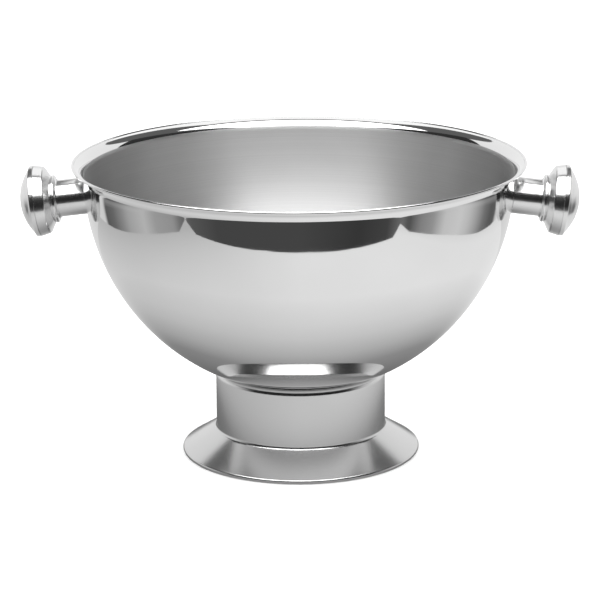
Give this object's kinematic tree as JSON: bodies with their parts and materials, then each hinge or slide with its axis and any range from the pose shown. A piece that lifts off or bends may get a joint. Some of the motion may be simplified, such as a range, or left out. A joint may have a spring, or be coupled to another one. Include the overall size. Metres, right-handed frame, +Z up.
{
  "type": "champagne bucket",
  "caption": "Wide footed champagne bucket in polished sheet steel: a round flared-lip bowl on a spun pedestal foot, with a knob handle on each side.",
  "frame": {"origin": "middle of the foot's underside, on the surface it stands on", "axes": "+Z up along the bowl's axis, +X out through one handle, +Y square to the handles"},
  "size_m": [0.4558, 0.3694, 0.245],
  "materials": {
    "bowl_steel": "mirror polished outside and on the lip, satin inside",
    "pedestal_steel": "mirror polished outside",
    "handle_steel": "mirror polished",
    "inner_steel": "mill finish, unpolished",
    "plated_steel": "zinc plated",
    "screw_steel": "plain stainless, turned",
    "silicone": "translucent white silicone"
  },
  "bodies": {
    "root": {"bowl_shell": "bowl_steel", "stud_plate": "inner_steel", "base_stud": "inner_steel", "pedestal_shell": "pedestal_steel", "pedestal_pan": "inner_steel", "base_washer": "plated_steel", "base_nut": "plated_steel", "left_handle_tube": "handle_steel", "left_knob_back": "handle_steel", "left_knob_cap": "handle_steel", "left_knob_insert": "inner_steel", "left_handle_screw": "screw_steel", "left_screw_washer": "screw_steel", "left_screw_seal": "silicone", "right_handle_tube": "handle_steel", "right_knob_back": "handle_steel", "right_knob_cap": "handle_steel", "right_knob_insert": "inner_steel", "right_handle_screw": "screw_steel", "right_screw_washer": "screw_steel", "right_screw_seal": "silicone"}
  },
  "joints": []
}
